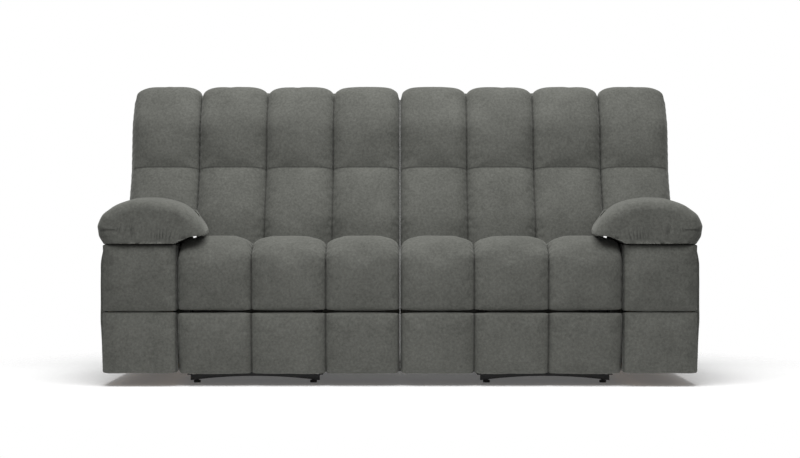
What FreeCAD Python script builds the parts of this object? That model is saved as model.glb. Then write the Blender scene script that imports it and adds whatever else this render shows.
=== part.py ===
import FreeCAD, Part
import math
import os

from FreeCAD import Vector
from Sketcher import Constraint

# Two-unit reclining sofa, in millimetres. +X is the right unit as seen from the front,
# -Y is the front and +Z is up. The origin is on the floor under the middle of the sofa.
# The right unit is built; the left unit is its mirror image.

doc = FreeCAD.newDocument("RecliningSofa")
sheet = doc.addObject("Spreadsheet::Sheet", "Sizes")
nodes = {}


class Size:
    """A number, with the expression that works it out from the sheet's cells."""

    def __init__(self, number, text=None):
        self.number = float(number)
        self.text = text or repr(self.number)

    def joined(self, other, sign, number):
        return Size(number, f"({self.text} {sign} {other.text})")

    def __add__(self, other):
        other = as_size(other)
        return self.joined(other, "+", self.number + other.number)

    def __sub__(self, other):
        other = as_size(other)
        return self.joined(other, "-", self.number - other.number)

    def __mul__(self, other):
        other = as_size(other)
        return self.joined(other, "*", self.number * other.number)

    def __truediv__(self, other):
        other = as_size(other)
        return self.joined(other, "/", self.number / other.number)

    def __radd__(self, other):
        return as_size(other) + self

    def __rsub__(self, other):
        return as_size(other) - self

    def __rmul__(self, other):
        return as_size(other) * self

    def __neg__(self):
        return Size(-self.number, f"(0 - {self.text})")


def as_size(value):
    return value if isinstance(value, Size) else Size(value)


def size(name, number):
    """Write one driving dimension into the sheet and return it."""
    row = len(sheet.getUsedCells()) // 2 + 1
    sheet.set(f"A{row}", name)
    sheet.set(f"B{row}", str(number))
    sheet.setAlias(f"B{row}", name)
    return Size(number, f"Sizes.{name}")


def cosine(angle):
    angle = as_size(angle)
    return Size(math.cos(math.radians(angle.number)), f"cos({angle.text} * 1 deg)")


def sine(angle):
    angle = as_size(angle)
    return Size(math.sin(math.radians(angle.number)), f"sin({angle.text} * 1 deg)")


def bind(item, prop, value):
    item.setExpression(prop, as_size(value).text)


# Overall and upholstery sizes
column = size("column_width", 250)
centre_gap = size("centre_gap", 5)
side_gap = size("side_gap", 5)
floor_gap = size("pad_floor_gap", 43)
row_split = size("row_split_height", 252)
row_gap = size("row_gap", 6)
seat_crest = size("seat_crest_height", 503)
seat_depth = size("seat_depth", 515)
seat_drop = size("seat_fall_to_rear", 34)
pad_thick = size("front_pad_thickness", 50)
valley = size("seat_channel_depth", 24)
pad_radius = size("pad_corner_radius", 32)
arm_top = size("arm_carcass_height", 480)
arm_rear_top = size("arm_rear_height", 400)
pillow_crest = size("pillow_crest_height", 635)
pillow_in = size("pillow_inner_overhang", 101)
pillow_out = size("pillow_outer_overhang", 27)
pillow_depth = seat_depth - size("pillow_short_of_seat", 3)
arm_slope_start = pillow_depth + size("slope_behind_pillow", 8)
arm_slope_end = arm_slope_start + size("arm_slope_length", 120)
side_bulge = size("side_pad_thickness", 30)
board = size("board_thickness", 18)
fit = size("fit_gap", 0.2)

# Back sizes, along and square to its leaning face
lean = size("back_lean", 17.1)
back_foot_d = seat_depth - size("seat_under_back", 16)
back_foot_z = size("back_foot_height", 400)
back_long = size("back_cushion_length", 723)
back_row = size("back_row_height", 387)
back_soft = size("back_cushion_thickness", 95)
back_valley = size("back_channel_depth", 38)
frame_deep = size("back_frame_depth", 40)
shell_soft = size("back_shell_thickness", 46)
shell_crown = size("back_shell_crown", 20)
ear_low = size("ear_height", 520)

# Mechanism sizes
steel = size("plate_thickness", 3)
pitch = size("plate_pitch", 5)
base_half = column - size("mechanism_side_room", 28)
pin = size("pin_radius", 4)
pin_room = size("pin_clearance", 0.2)
head = size("pin_head_radius", 6.5)
head_thick = size("pin_head_thickness", 1.2)
swing_long = size("swing_link_length", 120)
swing_lean = size("swing_link_lean", 12)
swing_wide = size("swing_link_width", 24)
swing_low = size("swing_pivot_height", 75)
swing_front_d = size("front_swing_depth", 240)
swing_rear_d = swing_front_d + size("swing_spacing", 330)
drive_d = size("drive_pivot_depth", 140)
drive_z = size("drive_pivot_height", 224)
drive_long = size("drive_link_length", 175)
drive_angle = size("drive_link_angle", 60)
drive_wide = size("drive_link_width", 20)
lift_long = size("lift_link_length", 176)
lift_angle = size("lift_link_angle", 33)
lift_wide = size("lift_link_width", 16)
pivot_step = size("twin_pivot_distance", 50)
outer_step = size("outer_link_offset", 40)
tube_half = size("torque_tube_half_width", 10)
tube_wall = size("torque_tube_wall", 2.5)
hinge_d = back_foot_d + size("hinge_behind_foot", 119)
hinge_z = size("back_hinge_height", 385)
hinge_radius = size("back_hinge_radius", 16)
footrest_tilt = size("footrest_tilt", 10)
footrest_board = size("footrest_board_thickness", 15)
bar_low = size("base_bar_low", 8.2)
bar_tall = size("base_bar_thickness", 17.5)
bar_deep = size("base_bar_depth", 24)
bar_arch = size("base_bar_arch", 14.7)
bar_front_d = size("front_bar_depth", 185)
glide_radius = size("glide_radius", 12)
glide_offset = base_half - size("glide_inset", 21)
rail_tall = size("base_rail_height", 30)
flange = size("flange_width", 15)

# Seat frame, webbing and release cup sizes
rail_low = size("seat_rail_low", 290)
rail_high = size("seat_rail_high", 345)
rail_wide = size("seat_rail_width", 22)
strap = size("strap_width", 50)
strap_thick = size("strap_thickness", 2)
cup_long = size("cup_length", 110)
cup_tall = size("cup_height", 90)
cup_deep = size("cup_depth", 36)
cup_wall = size("cup_wall", 3)
cup_d = size("cup_place_depth", 300)
cup_z = size("cup_place_height", 330)
apron_soft = size("apron_thickness", 40)

body_depth = hinge_d + size("body_behind_hinge", 182)
bar_rear_d = body_depth - size("rear_bar_inset", 110)
front_y = -(body_depth + size("back_rake", 77)) / 2
unit_middle = 2 * column
unit_right = 3 * column
arm_right = 4 * column


def depth(distance):
    """The y of a point at this distance behind the front plane."""
    return front_y + distance


class Frame:
    """A tilted frame: its origin in y and z, and its turn about the X axis."""

    def __init__(self, y, z, turn):
        self.y = as_size(y)
        self.z = as_size(z)
        self.turn = as_size(turn)

    def text(self):
        return (f"placement(vector(0; {self.y.text}; {self.z.text}); "
                f"rotation(vector(1; 0; 0); {self.turn.text}))")

    def placement(self):
        turn = FreeCAD.Rotation(Vector(1, 0, 0), self.turn.number)
        return FreeCAD.Placement(Vector(0, self.y.number, self.z.number), turn)


level = Frame(0, 0, 0)
back_frame = Frame(depth(back_foot_d), back_foot_z, -lean)


def block(name, low, high, frame=level):
    """A board or bar between two corners of a frame."""
    item = doc.addObject("Part::Box", name)
    low = [as_size(value) for value in low]
    high = [as_size(value) for value in high]
    for prop, start, end in zip(("Length", "Width", "Height"), low, high):
        bind(item, prop, end - start)
    corner = "; ".join(value.text for value in low)
    item.setExpression("Placement", f"{frame.text()} * placement(vector({corner}); "
                                    "rotation(vector(0; 0; 1); 0))")
    return item


def origin_plane(body, role):
    return next(item for item in body.Origin.OriginFeatures if item.Role == role)


def new_sketch(body, name):
    sketch = body.newObject("Sketcher::SketchObject", name)
    sketch.AttachmentSupport = [(origin_plane(body, "XY_Plane"), "")]
    sketch.MapMode = "FlatFace"
    return sketch


def fix(sketch, kind, *places, value):
    """Add one driving dimension to a sketch and bind it."""
    row = sketch.addConstraint(Constraint(kind, *places, as_size(value).number))
    bind(sketch, f"Constraints[{row}]", value)


def fix_point(sketch, edge, end, point):
    fix(sketch, "DistanceX", -1, 1, edge, end, value=point[0])
    fix(sketch, "DistanceY", -1, 1, edge, end, value=point[1])


def draw_outline(sketch, points):
    """A closed outline of straight edges through points."""
    places = [Vector(u.number, v.number, 0) for u, v in points]
    edges = []
    for start, end in zip(places, places[1:] + places[:1]):
        edges.append(sketch.addGeometry(Part.LineSegment(start, end), False))
    for edge, following in zip(edges, edges[1:] + edges[:1]):
        sketch.addConstraint(Constraint("Coincident", edge, 2, following, 1))
    for edge, point in zip(edges, points):
        fix_point(sketch, edge, 1, point)


def draw_slot(sketch, length, width):
    """The outline of a link: straight sides and round ends, from the origin along X."""
    radius = width.number / 2
    far = length.number
    quarter = math.pi / 2
    up = Vector(0, 0, 1)
    near_arc = Part.ArcOfCircle(Part.Circle(Vector(0, 0, 0), up, radius), quarter, 3 * quarter)
    far_arc = Part.ArcOfCircle(Part.Circle(Vector(far, 0, 0), up, radius), -quarter, quarter)
    near = sketch.addGeometry(near_arc, False)
    tip = sketch.addGeometry(far_arc, False)
    top = sketch.addGeometry(Part.LineSegment(Vector(0, radius, 0), Vector(far, radius, 0)), False)
    low = sketch.addGeometry(Part.LineSegment(Vector(0, -radius, 0), Vector(far, -radius, 0)), False)
    sketch.addConstraint(Constraint("Coincident", near, 3, -1, 1))
    sketch.addConstraint(Constraint("PointOnObject", tip, 3, -1))
    sketch.addConstraint(Constraint("Tangent", near, 1, top, 1))
    sketch.addConstraint(Constraint("Tangent", near, 2, low, 1))
    sketch.addConstraint(Constraint("Tangent", tip, 1, low, 2))
    sketch.addConstraint(Constraint("Tangent", tip, 2, top, 2))
    fix(sketch, "Radius", near, value=width / 2)
    fix(sketch, "DistanceX", -1, 1, tip, 3, value=length)


def stand_on_edge(body, x, y, z, angle):
    """Turn a flat plate so that its sketch lies in a plane square to X."""
    place = "; ".join(as_size(value).text for value in (x, y, z))
    body.setExpression("Placement", f"placement(vector({place}); rotation(vector(1; 1; 1); 120)) * "
                                    "placement(vector(0; 0; 0); "
                                    f"rotation(vector(0; 0; 1); {as_size(angle).text}))")


# Pins and their holes are many-sided, so that the many pivots stay light
PIN_SIDES = 8
bore_radius = pin / cosine(180 / PIN_SIDES) + pin_room


def plate_x(layer):
    """The low x of a plate in the stack of the outer linkage; layer 0 is the base rail."""
    return unit_middle + base_half - layer * pitch - steel


def link(name, layer, start, angle, length, width):
    """A stamped link of the outer linkage, with round ends."""
    body = doc.addObject("PartDesign::Body", name)
    sketch = new_sketch(body, name + "Outline")
    draw_slot(sketch, length, width)
    pad = body.newObject("PartDesign::Pad", name + "Plate")
    pad.Profile = sketch
    bind(pad, "Length", steel)
    stand_on_edge(body, plate_x(layer), start[0], start[1], angle)
    return body


def plate(name, x, thickness, points):
    """A flat plate with a straight-edged outline in y and z."""
    body = doc.addObject("PartDesign::Body", name)
    sketch = new_sketch(body, name + "Outline")
    draw_outline(sketch, [(as_size(y), as_size(z)) for y, z in points])
    pad = body.newObject("PartDesign::Pad", name + "Plate")
    pad.Profile = sketch
    bind(pad, "Length", thickness)
    stand_on_edge(body, x, 0, 0, 0)
    return body


def prism(name, sides, radius, start, length, y, z):
    """A many-sided bar along X, from start."""
    item = doc.addObject("Part::Prism", name)
    item.Polygon = sides
    bind(item, "Circumradius", radius)
    bind(item, "Height", length)
    place = "; ".join(as_size(value).text for value in (start, y, z))
    item.setExpression("Placement", f"placement(vector({place}); rotation(vector(0; 1; 0); 90))")
    return item


def rivet(name, layer, toward, point):
    """A pivot pin from a plate through its neighbour, with a hexagonal head beyond it."""
    start = plate_x(layer)
    gap = pitch - steel
    reach = gap + steel + 1.5 * fit + head_thick
    if toward < layer:
        shank = prism(name + "Shank", PIN_SIDES, pin, start + steel - fit, reach, *point)
        cap = prism(name + "Head", 6, head, start + steel + reach - head_thick, head_thick, *point)
    else:
        shank = prism(name + "Shank", PIN_SIDES, pin, start + fit - reach, reach, *point)
        cap = prism(name + "Head", 6, head, start - reach, head_thick, *point)
    return [shank, cap]


def joined(name, items):
    """Pieces that are made or welded as one."""
    fuse = doc.addObject("Part::MultiFuse", name)
    fuse.Shapes = items
    return fuse


def cut(name, base, tool):
    item = doc.addObject("Part::Cut", name)
    item.Base = base
    item.Tool = tool
    return item


def bored(name, item, layer, *points):
    """Cut a pivot hole through a plate at each point, with running clearance."""
    for row, point in enumerate(points):
        bore = prism(f"{name}Bore{row}", PIN_SIDES, bore_radius, plate_x(layer) - 1, steel + 2, *point)
        item = cut(f"{name}Bored{row}", item, bore)
    return item


def mirrored(name, source, x):
    item = doc.addObject("Part::Mirroring", name)
    item.Source = source
    item.Normal = Vector(1, 0, 0)
    bind(item, "Base.x", x)
    return item


def paired(name, item):
    """A piece of the outer linkage and its mirror image on the inner linkage."""
    return [item, mirrored(name + "Inner", item, unit_middle)]


def both_sides(label, items):
    """Name a sub-part of the right unit and mirror it for the left unit."""
    right = items[0]
    if len(items) > 1:
        right = doc.addObject("Part::Compound", label + "_group")
        right.Links = items
    right.Label = label + "_right"
    nodes[right.Label] = right
    left = mirrored(label + "_mirror", right, 0)
    left.Label = label + "_left"
    nodes[left.Label] = left


# Fullness of a sewn channel, from seam to seam, and the coarsest turn of a round corner
CHANNEL = ((0.0, 0.0), (0.07, 0.45), (0.22, 0.83), (0.5, 1.0), (0.78, 0.83), (0.93, 0.45))
CHORD_ANGLE = math.radians(31)


def channel_stations(seams):
    """The x places and fullness of a row of sewn channels between seams."""
    stations = []
    for left, right in zip(seams, seams[1:]):
        for share, fullness in CHANNEL:
            stations.append((left + share * (right - left), fullness))
    stations.append((seams[-1], 0.0))
    return stations


def drawn_in(corners, inset):
    """An outline with rounded corners, drawn in by inset along its soft edges.

    Each corner is (across, up, radius, firm), counter-clockwise; the edge that
    starts at a firm corner stays where it is. A round corner is a few chords,
    which stay parallel to themselves as the outline is drawn in.
    """
    ends = corners[1:] + corners[:1]
    lines = []
    for (across, up, _, firm), (next_across, next_up, _, _) in zip(corners, ends):
        along = Vector(next_across - across, next_up - up, 0).normalize()
        inward = Vector(-along.y, along.x, 0)
        lines.append((Vector(across, up, 0) + inward * (0 if firm else inset), along))
    points = []
    for (_, _, radius, _), before, after in zip(corners, lines[-1:] + lines[:-1], lines):
        turn = before[1].cross(after[1]).z
        reach = (after[0] - before[0]).cross(after[1]).z / turn
        corner = before[0] + before[1] * reach
        if radius == 0:
            points.append(corner)
            continue
        round_radius = radius - math.copysign(inset, turn)
        angle = math.asin(abs(turn))
        start = corner - before[1] * (round_radius * math.tan(angle / 2))
        side = Vector(-before[1].y, before[1].x, 0) * math.copysign(1, turn)
        centre = start + side * round_radius
        chords = max(2, math.ceil(angle / CHORD_ANGLE))
        for step in range(chords + 1):
            swept = angle * step / chords
            points.append(centre - side * (round_radius * math.cos(swept))
                          + before[1] * (round_radius * math.sin(swept)))
    return points


def section(place, points):
    """A closed wire through an outline's points; place puts them in space."""
    points = [place(point) for point in points]
    return Part.makePolygon(points + points[:1])


def lofted(wires):
    """A closed solid of flat faces between wires whose edges run parallel."""
    loft = Part.makeLoft(wires, True, True)
    faces = []
    for face in loft.Faces:
        corners = [vertex.Point for vertex in face.OuterWire.OrderedVertexes]
        faces.append(Part.Face(Part.makePolygon(corners + corners[:1])))
    return Part.Solid(Part.Shell(faces))


def soft(name, stations, corners, drawn, frame=level):
    """An upholstered form: a ruled loft along X, drawn in where a seam holds it down."""
    wires = []
    for x, fullness in stations:
        outline = drawn_in(corners, drawn.number * (1 - fullness))
        wires.append(section(lambda point, x=x: Vector(x, point.x, point.y), outline))
    item = doc.addObject("Part::Feature", name)
    item.Shape = lofted(wires)
    item.Placement = frame.placement()
    return item


def numbers(*values):
    return tuple(as_size(value).number for value in values)


# Mechanism base: two rails on a front and a rear bar, with brackets to the arm
bar_end = unit_middle + base_half + 0.5
bar_length = 2 * (base_half + 0.5)
rail_foot = bar_low + bar_tall + 1.1


def base_bar(name, middle_d, arch):
    """A cross bar whose underside and top rise to an arch in the middle."""
    low = bar_low.number
    tall = bar_tall.number
    half = bar_length.number / 2
    rise = arch.number
    y = depth(middle_d).number - bar_deep.number / 2
    middle = unit_middle.number
    corners = [Vector(middle - half, y, low), Vector(middle + half, y, low)]
    upper = [point + Vector(0, 0, tall) for point in corners]
    crown = Vector(middle, y, low + rise)
    edges = [
        Part.Arc(corners[0], crown, corners[1]).toShape(),
        Part.LineSegment(corners[1], upper[1]).toShape(),
        Part.Arc(upper[1], crown + Vector(0, 0, tall), upper[0]).toShape(),
        Part.LineSegment(upper[0], corners[0]).toShape(),
    ]
    item = doc.addObject("Part::Feature", name)
    item.Shape = Part.Face(Part.Wire(edges)).extrude(Vector(0, bar_deep.number, 0))
    return item


def post(name, sides, radius, x, y, low, high):
    """An upright many-sided stem or nut."""
    item = doc.addObject("Part::Prism", name)
    item.Polygon = sides
    bind(item, "Circumradius", radius)
    bind(item, "Height", high - low)
    bind(item, "Placement.Base.x", x)
    bind(item, "Placement.Base.y", y)
    bind(item, "Placement.Base.z", low)
    return item


rise_at_glide = bar_arch * (1 - (glide_offset / base_half) * (glide_offset / base_half))
bars = []
glides = []
for place, middle_d in (("Front", bar_front_d), ("Rear", bar_rear_d)):
    bar = base_bar(place + "Bar", middle_d, bar_arch)
    middle_y = depth(middle_d)
    underside = bar_low + rise_at_glide
    topside = underside + bar_tall
    for side, x in (("Inner", unit_middle - glide_offset), ("Outer", unit_middle + glide_offset)):
        name = place + side
        bore = post(name + "Bore", PIN_SIDES, bore_radius, x, middle_y, bar_low / 2, 2 * topside)
        bar = cut(name + "Bored", bar, bore)
        foot = post(name + "Foot", 2 * PIN_SIDES, glide_radius, x, middle_y, 0, bar_low - fit)
        jam_nut = post(name + "JamNut", 6, head + 1, x, middle_y, bar_low - 2, underside - 1.3)
        stem = post(name + "Stem", PIN_SIDES, pin, x, middle_y, bar_low - 2, topside + 8)
        nut = post(name + "Nut", 6, head + 1, x, middle_y, topside + 1.5, topside + 6.5)
        glides.append(joined(name + "Glide", [foot, jam_nut, stem, nut]))
    bars.append(bar)

ear = swing_wide / 2 + 2
rail_top = rail_foot + rail_tall
rail_outline = [
    (depth(bar_front_d - bar_deep / 2), rail_foot),
    (depth(body_depth - apron_soft - fit), rail_foot),
    (depth(body_depth - apron_soft - fit), rail_top),
]
for pivot_d in (swing_rear_d, swing_front_d):
    rail_outline += [
        (depth(pivot_d + 2 * ear), rail_top),
        (depth(pivot_d + ear), swing_low + ear),
        (depth(pivot_d - ear), swing_low + ear),
        (depth(pivot_d - 2 * ear), rail_top),
    ]
rail_outline.append((depth(bar_front_d - bar_deep / 2), rail_top))
web = plate("BaseRailWeb", plate_x(0), steel, rail_outline)
foot_flange = block("BaseRailFlange", (plate_x(0), rail_outline[0][0], rail_foot),
                    (plate_x(0) + flange, rail_outline[1][0], rail_foot + steel))
base_pins = []
for place, pivot_d in (("Front", swing_front_d), ("Rear", swing_rear_d)):
    base_pins += rivet(place + "SwingBase", 0, 1, (depth(pivot_d), swing_low))
base_rail = joined("BaseRail", [web, foot_flange] + base_pins)
arm_inside = unit_right + 3 * fit + board
brackets = []
for place, bracket_d in (("Front", 300), ("Rear", 640)):
    shelf = block(place + "ArmShelf",
                  (plate_x(0) + steel + fit, depth(bracket_d), rail_foot + steel + fit),
                  (arm_inside - fit, depth(bracket_d + 50), rail_foot + 2 * steel + fit))
    tab = block(place + "ArmTab",
                (arm_inside - fit - steel, depth(bracket_d), rail_foot + steel + fit),
                (arm_inside - fit, depth(bracket_d + 50), rail_foot + 60))
    brackets.append(joined(place + "ArmBracket", [shelf, tab]))
both_sides("mechanism_base", bars + paired("BaseRail", base_rail) + brackets)
both_sides("leveling_glides", glides)

# Bars that tie the two units together under the middle
tie_reach = unit_middle - base_half - fit
tie_low = rail_foot + steel + fit
ties = []
for place, tie_d in (("Front", 300), ("Rear", 640)):
    ties.append(block(place + "Tie", (-tie_reach, depth(tie_d), tie_low),
                      (tie_reach, depth(tie_d + 40), tie_low + 2 * steel)))
ties_group = doc.addObject("Part::Compound", "TieBars")
ties_group.Links = ties
ties_group.Label = "unit_tie_bars"
nodes[ties_group.Label] = ties_group

# Swing links, front and rear, which lean back and let the seat travel forward
swing_back = swing_long * sine(swing_lean)
swing_top_z = swing_low + swing_long * cosine(swing_lean)
for place, pivot_d in (("front", swing_front_d), ("rear", swing_rear_d)):
    base_pivot = (depth(pivot_d), swing_low)
    top_pivot = (base_pivot[0] + swing_back, swing_top_z)
    name = "Swing_" + place
    swing = bored(name, link(name, 1, base_pivot, 90 - swing_lean, swing_long, swing_wide), 1,
                  base_pivot, top_pivot)
    both_sides("swing_links_" + place, paired(name, swing))

# Pivots of the footrest linkage when it is closed
step_y = pivot_step * cosine(lift_angle)
step_z = pivot_step * sine(lift_angle)
drive_pivot = (depth(drive_d), drive_z)
guide_pivot = (drive_pivot[0] - step_y, drive_pivot[1] + step_z)
knee = (drive_pivot[0] + drive_long * cosine(drive_angle),
        drive_pivot[1] - drive_long * sine(drive_angle))
middle_pivot = (knee[0] - step_y, knee[1] + step_z)
tail_long = drive_long + outer_step
tail = (guide_pivot[0] + tail_long * cosine(drive_angle),
        guide_pivot[1] - tail_long * sine(drive_angle))
lift_y = (lift_long - pivot_step) * cosine(lift_angle)
lift_z = (lift_long - pivot_step) * sine(lift_angle)
toe = (knee[0] - lift_long * cosine(lift_angle), knee[1] + lift_long * sine(lift_angle))
toe_low = (tail[0] - lift_y, tail[1] + lift_z)

# Seat plates: stamped plates that carry every pivot of the seat
swing_front_top = (depth(swing_front_d) + swing_back, swing_top_z)
swing_rear_top = (depth(swing_rear_d) + swing_back, swing_top_z)
hinge = (depth(hinge_d), hinge_z)
foot_z = swing_top_z - 16
seat_plate_outline = [
    (guide_pivot[0] - 18, rail_high),
    (guide_pivot[0] - 18, guide_pivot[1] - 12),
    (guide_pivot[0] - 6, guide_pivot[1] - 18),
    (drive_pivot[0] - 12, drive_pivot[1] - 20),
    (drive_pivot[0] + 20, drive_pivot[1] - 20),
    (swing_front_top[0] - 20, foot_z),
    (swing_front_top[0] + 20, foot_z),
    (swing_front_top[0] + 35, swing_top_z + 22),
    (swing_rear_top[0] - 35, swing_top_z + 22),
    (swing_rear_top[0] - 20, foot_z),
    (swing_rear_top[0] + 20, foot_z),
    (swing_rear_top[0] + 45, swing_top_z + 22),
    (hinge[0] + 25, hinge[1] - 65),
    (hinge[0] + hinge_radius, hinge[1] - 40),
    (hinge[0] + hinge_radius, hinge[1]),
    (hinge[0] + hinge_radius / 2, hinge[1] + hinge_radius - 2),
    (hinge[0] - hinge_radius / 2, hinge[1] + hinge_radius - 2),
    (hinge[0] - hinge_radius, hinge[1]),
    (hinge[0] - hinge_radius, hinge[1] - 33),
    (hinge[0] - 33, rail_high),
]
seat_plate = plate("SeatPlate", plate_x(2), steel, seat_plate_outline)
seat_pins = rivet("DrivePivot", 2, 3, drive_pivot) + rivet("GuidePivot", 2, 3, guide_pivot)
seat_pins += rivet("SwingFrontTop", 2, 1, swing_front_top)
seat_pins += rivet("SwingRearTop", 2, 1, swing_rear_top)
seat_pins += rivet("BackHinge", 2, 1, hinge)
seat_side = joined("SeatSide", [seat_plate] + seat_pins)
both_sides("seat_plates", paired("SeatSide", seat_side))

# Drive links with the torque tube that turns them together
drive_link = link("DriveLink", 3, drive_pivot, -drive_angle, drive_long, drive_wide)
drive_link = bored("DriveLink", drive_link, 3, drive_pivot)
drive_side = joined("DriveSide", [drive_link] + rivet("Knee", 3, 4, knee))
tube_end = plate_x(3) - fit
tube_start = 2 * unit_middle - tube_end


def tube_block(name, half, spare):
    return block(name, (tube_start - spare, drive_pivot[0] - half, drive_pivot[1] - half),
                 (tube_end + spare, drive_pivot[0] + half, drive_pivot[1] + half))


tube = cut("TorqueTube", tube_block("TubeOuter", tube_half, 0),
           tube_block("TubeInner", tube_half - tube_wall, 1))
both_sides("footrest_drive_links", paired("DriveSide", drive_side) + [tube])

# Guide links run beside the drive links and reach on to the outer links
guide_link = link("GuideLink", 3, guide_pivot, -drive_angle, tail_long, drive_wide)
guide_link = bored("GuideLink", guide_link, 3, guide_pivot)
guide_pins = rivet("Tail", 3, 4, tail) + rivet("Middle", 3, 4, middle_pivot)
guide_side = joined("GuideSide", [guide_link] + guide_pins)
both_sides("footrest_guide_links", paired("GuideSide", guide_side))

# Lift links carry the footrest bracket; outer links keep it from turning
lift_turn = 180 - lift_angle
lift_link = link("LiftLink", 4, knee, lift_turn, lift_long, lift_wide)
lift_link = bored("LiftLink", lift_link, 4, knee, middle_pivot)
lift_side = joined("LiftSide", [lift_link] + rivet("Toe", 4, 5, toe))
both_sides("footrest_lift_links", paired("LiftSide", lift_side))
outer_link = link("OuterLink", 4, tail, lift_turn, lift_long - pivot_step, lift_wide)
outer_link = bored("OuterLink", outer_link, 4, tail)
outer_side = joined("OuterSide", [outer_link] + rivet("ToeLow", 4, 5, toe_low))
both_sides("footrest_outer_links", paired("OuterSide", outer_side))

# Footrest bracket: a plate with a flange on the board, in the frame of the closed footrest
footrest_frame = Frame(toe[0], toe[1], footrest_tilt)
board_back = Size(-14)
twin_y = (toe_low[0] - toe[0]) * cosine(footrest_tilt) + (toe_low[1] - toe[1]) * sine(footrest_tilt)
twin_z = (toe_low[1] - toe[1]) * cosine(footrest_tilt) - (toe_low[0] - toe[0]) * sine(footrest_tilt)
bracket_face = board_back + fit
bracket_outline = [
    (bracket_face, Size(-70)),
    (twin_y + 2, twin_z - 12),
    (twin_y + 12, twin_z - 4),
    (twin_y + 12, twin_z + 6),
    (Size(12), Size(6)),
    (Size(2), Size(12)),
    (bracket_face, Size(40)),
]
bracket_plate = doc.addObject("PartDesign::Body", "FootrestBracket")
bracket_sketch = new_sketch(bracket_plate, "FootrestBracketOutline")
draw_outline(bracket_sketch, bracket_outline)
bracket_pad = bracket_plate.newObject("PartDesign::Pad", "FootrestBracketPlate")
bracket_pad.Profile = bracket_sketch
bind(bracket_pad, "Length", steel)
stand_on_edge(bracket_plate, plate_x(5), toe[0], toe[1], footrest_tilt)
bracket_flange = block("FootrestFlange", (plate_x(5) - 25, bracket_face, -70),
                       (plate_x(5) + steel, bracket_face + steel, 40), footrest_frame)
bracket_plate = bored("FootrestBracket", bracket_plate, 5, toe, toe_low)
bracket = joined("FootrestBracketSide", [bracket_plate, bracket_flange])
both_sides("footrest_brackets", paired("FootrestBracketSide", bracket))

# Footrest board and its padded front
pad_low = (floor_gap - toe[1] + 10) / cosine(footrest_tilt) - 2
pad_high = (row_split - row_gap / 2 - toe[1] + 6) / cosine(footrest_tilt)
unit_left_edge = centre_gap
unit_right_edge = unit_right - side_gap
board_front = board_back - footrest_board
wood = block("FootrestBoard", (unit_left_edge + 15, board_front, pad_low + 11),
             (unit_right_edge - 10, board_back, pad_high - 12), footrest_frame)
both_sides("footrest_board", [wood])
seams = [unit_left_edge.number, column.number, 2 * column.number, unit_right_edge.number]


def front_pad_corners(face, rear, low, high):
    """A puffed front pad, square to X: flat at the rear and crowned in front."""
    face, rear, low, high = numbers(face, rear, low, high)
    soft_corner = pad_radius.number
    return [
        (face + 9, low, soft_corner, False),
        (rear, low, 0, True),
        (rear, high, 0, False),
        (face + 9, high, soft_corner, False),
        (face, (low + high) / 2, 420, False),
    ]


footrest_corners = front_pad_corners(board_front - fit - pad_thick, board_front - fit,
                                     pad_low, pad_high)
both_sides("footrest_pad", [soft("FootrestPad", channel_stations(seams), footrest_corners,
                                 valley, footrest_frame)])

# Seat frame: hardwood rails on the seat plates
frame_front = pad_thick + fit
frame_rear = hinge_d - 56
rail_face = plate_x(2) + steel + fit
rails = [block("SeatFrontRail", (unit_left_edge + 5, depth(frame_front), rail_low),
               (unit_right_edge - 5, depth(frame_front + rail_wide), rail_high))]
for name, x in (("Outer", rail_face), ("Middle", 2 * unit_middle - rail_face - rail_wide),
                ("Centre", unit_left_edge + 5)):
    rails.append(block(name + "SeatRail", (x, depth(frame_front + rail_wide + fit), rail_low),
                       (x + rail_wide, depth(frame_rear + rail_wide), rail_high)))
for name, low, high in (
        ("Centre", unit_left_edge + 5 + rail_wide + fit, 2 * unit_middle - rail_face - rail_wide - fit),
        ("Mechanism", 2 * unit_middle - plate_x(2) + fit, plate_x(2) - fit)):
    rails.append(block(name + "SeatRearRail", (low, depth(frame_rear), rail_low),
                       (high, depth(frame_rear + rail_wide), rail_high)))
both_sides("seat_frame", rails)

# Elastic webbing over the seat frame
strap_low = rail_high + fit
strap_high = strap_low + strap_thick
straps = []
strap_step = (unit_right_edge - unit_left_edge) / 5
for row in range(5):
    x = unit_left_edge + (row + 0.5) * strap_step - strap / 2
    straps.append(block(f"SeatStrapAlong{row}", (x, depth(frame_front + 3), strap_low),
                        (x + strap, depth(frame_rear + rail_wide - 3), strap_high)))
for row in range(2):
    far = depth(frame_front + (frame_rear - frame_front) * (row + 1) / 3)
    straps.append(block(f"SeatStrapAcross{row}", (unit_left_edge + 8, far, strap_low),
                        (rail_face + rail_wide - 3, far + strap, strap_high)))
both_sides("seat_webbing", [joined("SeatWebbing", straps)])

# Seat cushion: three sewn channels with a roll over the front
seat_under = strap_high + fit
seat_front, seat_back, seat_top, seat_low, under = numbers(
    front_y, front_y + seat_depth, seat_crest, row_split + row_gap / 2, seat_under)
seat_rear_top = seat_top - seat_drop.number
behind_drop = seat_front + pad_thick.number
seat_corners = [
    (seat_front + 9, seat_low, 0, True),
    (behind_drop, seat_low, 0, True),
    (behind_drop, under, 0, True),
    (seat_back - 18, under, 0, True),
    (seat_back, seat_rear_top, 0, False),
    ((seat_front + seat_back) / 2, seat_top - 6, 300, False),
    (seat_front + 78, seat_top + 3, 60, False),
    (seat_front + 4, seat_top - 52, 46, False),
    (seat_front, (seat_low + seat_top) / 2 - 10, 420, False),
]
both_sides("seat_cushion", [soft("SeatCushion", channel_stations(seams), seat_corners, valley)])

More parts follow.
